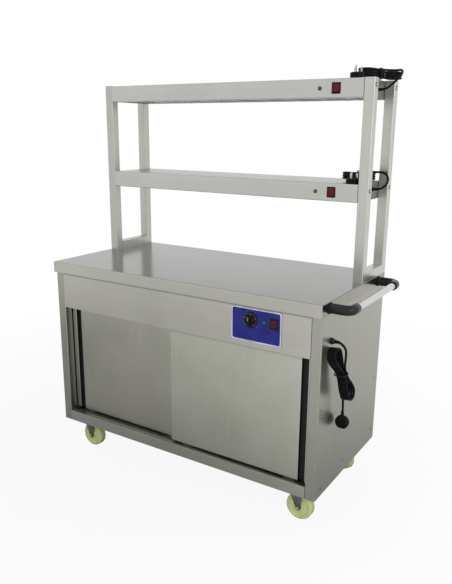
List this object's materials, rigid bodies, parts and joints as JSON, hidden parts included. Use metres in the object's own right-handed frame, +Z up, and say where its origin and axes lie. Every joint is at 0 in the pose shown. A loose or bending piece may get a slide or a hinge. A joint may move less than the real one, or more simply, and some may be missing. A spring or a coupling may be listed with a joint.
{
  "type": "mobile hot cupboard",
  "caption": "Wheeled hot cupboard with sliding doors, a tiered heated gantry above the worktop, control panel, push handle, castors and put-away leads",
  "frame": {"origin": "on the floor under the middle of the whole part in plan, with its push handle and knob", "axes": "+X along the front towards the handle, +Y from front to back, +Z up"},
  "size_m": [1.289, 0.5964, 1.564],
  "materials": {
    "worktop_steel": "satin stainless sheet, brushed along the length",
    "panel_steel": "satin stainless sheet, brushed",
    "door_steel": "satin stainless sheet, brushed upright",
    "gantry_steel": "satin stainless sheet and tube, brushed",
    "frame_steel": "plain folded stainless sheet",
    "reflector_steel": "bright rolled aluminium",
    "element_sheath": "heat-darkened sheath",
    "plate_blue": "gloss dark blue with a pale edge",
    "knob_black": "black moulding",
    "rocker_red": "dark red translucent moulding",
    "switch_black": "black moulding",
    "lamp_green": "green lens",
    "thermostat_body": "black moulding with a metal bush",
    "quartz": "clear quartz tubes in ceramic holders",
    "bright_fixing": "bright plated screw heads",
    "bar_steel": "polished stainless tube",
    "elbow_black": "black moulding",
    "cord_black": "black flexible sheath",
    "plug_black": "black moulding with plated pins",
    "zinc": "blue-grey zinc plate",
    "nylon": "pale yellow-green nylon",
    "roller_nylon": "white nylon",
    "liner_steel": "plain sheet over insulation"
  },
  "bodies": {
    "cupboard": {"worktop": "worktop_steel", "worktop_channels": "frame_steel", "corner_posts": "panel_steel", "left_side_panel": "panel_steel", "right_side_panel": "panel_steel", "back_panel": "panel_steel", "base_deck": "frame_steel", "mid_shelf": "frame_steel", "fascia": "panel_steel", "bottom_rail": "panel_steel", "base_frame": "frame_steel", "top_track": "frame_steel", "bottom_track": "frame_steel", "heating_element": "element_sheath", "thermostat": "thermostat_body", "control_plate": "plate_blue", "pilot_lamps": "lamp_green", "switch_housings": "switch_black", "gantry_left_frame": "gantry_steel", "gantry_right_frame": "gantry_steel", "upper_shelf": "gantry_steel", "lower_shelf": "gantry_steel", "shelf_reflectors": "reflector_steel", "heat_lamps": "quartz", "fasteners": "bright_fixing", "handle_bar": "bar_steel", "handle_elbows": "elbow_black", "cable_glands": "switch_black", "mains_lead": "cord_black", "mains_hank": "cord_black", "mains_plug": "plug_black", "upper_lead": "cord_black", "upper_hank": "cord_black", "upper_plug": "plug_black", "lower_lead": "cord_black", "lower_hank": "cord_black", "lower_plug": "plug_black", "castor_plates": "zinc"},
    "thermostat_knob": {"thermostat_knob": "knob_black"},
    "main_rocker": {"main_rocker": "rocker_red"},
    "upper_rocker": {"upper_rocker": "rocker_red"},
    "lower_rocker": {"lower_rocker": "rocker_red"},
    "left_door": {"left_door": "door_steel", "left_door_liner": "liner_steel", "left_door_hangers": "zinc"},
    "right_door": {"right_door": "door_steel", "right_door_liner": "liner_steel", "right_door_hangers": "zinc"},
    "left_door_roller_1": {"left_door_roller_1": "roller_nylon"},
    "left_door_roller_2": {"left_door_roller_2": "roller_nylon"},
    "right_door_roller_1": {"right_door_roller_1": "roller_nylon"},
    "right_door_roller_2": {"right_door_roller_2": "roller_nylon"},
    "front_left_fork": {"front_left_fork": "zinc"},
    "front_left_wheel": {"front_left_wheel": "nylon"},
    "front_right_fork": {"front_right_fork": "zinc"},
    "front_right_wheel": {"front_right_wheel": "nylon"},
    "rear_left_fork": {"rear_left_fork": "zinc"},
    "rear_left_wheel": {"rear_left_wheel": "nylon"},
    "rear_right_fork": {"rear_right_fork": "zinc"},
    "rear_right_wheel": {"rear_right_wheel": "nylon"}
  },
  "joints": [
    {"name": "left_door_slide", "type": "slide", "parent": "cupboard", "child": "left_door", "axis": [1, 0, 0], "range_m": [0, 0.53]},
    {"name": "right_door_slide", "type": "slide", "parent": "cupboard", "child": "right_door", "axis": [-1, 0, 0], "range_m": [0, 0.53]},
    {"name": "thermostat_turn", "type": "hinge", "parent": "cupboard", "child": "thermostat_knob", "pos_m": [0.2905, -0.28675, 0.725], "axis": [0, 1, 0], "range_deg": [0, 270]},
    {"name": "main_rocker_tip", "type": "hinge", "parent": "cupboard", "child": "main_rocker", "pos_m": [0.3805, -0.27225, 0.725], "axis": [1, 0, 0], "range_deg": [0, 14]},
    {"name": "upper_rocker_tip", "type": "hinge", "parent": "cupboard", "child": "upper_rocker", "pos_m": [0.419, 0.05825, 1.491], "axis": [1, 0, 0], "range_deg": [0, 14]},
    {"name": "lower_rocker_tip", "type": "hinge", "parent": "cupboard", "child": "lower_rocker", "pos_m": [0.419, 0.05825, 1.138], "axis": [1, 0, 0], "range_deg": [0, 14]},
    {"name": "left_door_roller_1_roll", "type": "hinge", "parent": "left_door", "child": "left_door_roller_1", "pos_m": [-0.5315, -0.23275, 0.6663], "axis": [0, 1, 0], "range_deg": [0, 2800]},
    {"name": "left_door_roller_2_roll", "type": "hinge", "parent": "left_door", "child": "left_door_roller_2", "pos_m": [-0.0895, -0.23275, 0.6663], "axis": [0, 1, 0], "range_deg": [0, 2800]},
    {"name": "right_door_roller_1_roll", "type": "hinge", "parent": "right_door", "child": "right_door_roller_1", "pos_m": [0.4425, -0.25475, 0.6663], "axis": [0, -1, 0], "range_deg": [0, 2800]},
    {"name": "right_door_roller_2_roll", "type": "hinge", "parent": "right_door", "child": "right_door_roller_2", "pos_m": [0.0005, -0.25475, 0.6663], "axis": [0, -1, 0], "range_deg": [0, 2800]},
    {"name": "front_left_swivel", "type": "hinge", "parent": "cupboard", "child": "front_left_fork", "pos_m": [-0.5505, -0.21875, 0.114], "axis": [0, 0, 1], "continuous": true},
    {"name": "front_left_wheel_spin", "type": "hinge", "parent": "front_left_fork", "child": "front_left_wheel", "pos_m": [-0.5245, -0.21875, 0.05], "axis": [0, 1, 0], "continuous": true},
    {"name": "front_right_swivel", "type": "hinge", "parent": "cupboard", "child": "front_right_fork", "pos_m": [0.4515, -0.21875, 0.114], "axis": [0, 0, 1], "continuous": true},
    {"name": "front_right_wheel_spin", "type": "hinge", "parent": "front_right_fork", "child": "front_right_wheel", "pos_m": [0.4775, -0.21875, 0.05], "axis": [0, 1, 0], "continuous": true},
    {"name": "rear_left_swivel", "type": "hinge", "parent": "cupboard", "child": "rear_left_fork", "pos_m": [-0.5505, 0.20825, 0.114], "axis": [0, 0, 1], "continuous": true},
    {"name": "rear_left_wheel_spin", "type": "hinge", "parent": "rear_left_fork", "child": "rear_left_wheel", "pos_m": [-0.52798, 0.19525, 0.05], "axis": [0.5, 0.866, 0], "continuous": true},
    {"name": "rear_right_swivel", "type": "hinge", "parent": "cupboard", "child": "rear_right_fork", "pos_m": [0.4515, 0.20825, 0.114], "axis": [0, 0, 1], "continuous": true},
    {"name": "rear_right_wheel_spin", "type": "hinge", "parent": "rear_right_fork", "child": "rear_right_wheel", "pos_m": [0.47402, 0.19525, 0.05], "axis": [0.5, 0.866, 0], "continuous": true}
  ],
  "couplings": [
    {"joint": "left_door_roller_1_roll", "follows": "left_door_slide", "rad_per_m": 90.909},
    {"joint": "left_door_roller_2_roll", "follows": "left_door_slide", "rad_per_m": 90.909},
    {"joint": "right_door_roller_1_roll", "follows": "right_door_slide", "rad_per_m": 90.909},
    {"joint": "right_door_roller_2_roll", "follows": "right_door_slide", "rad_per_m": 90.909}
  ]
}
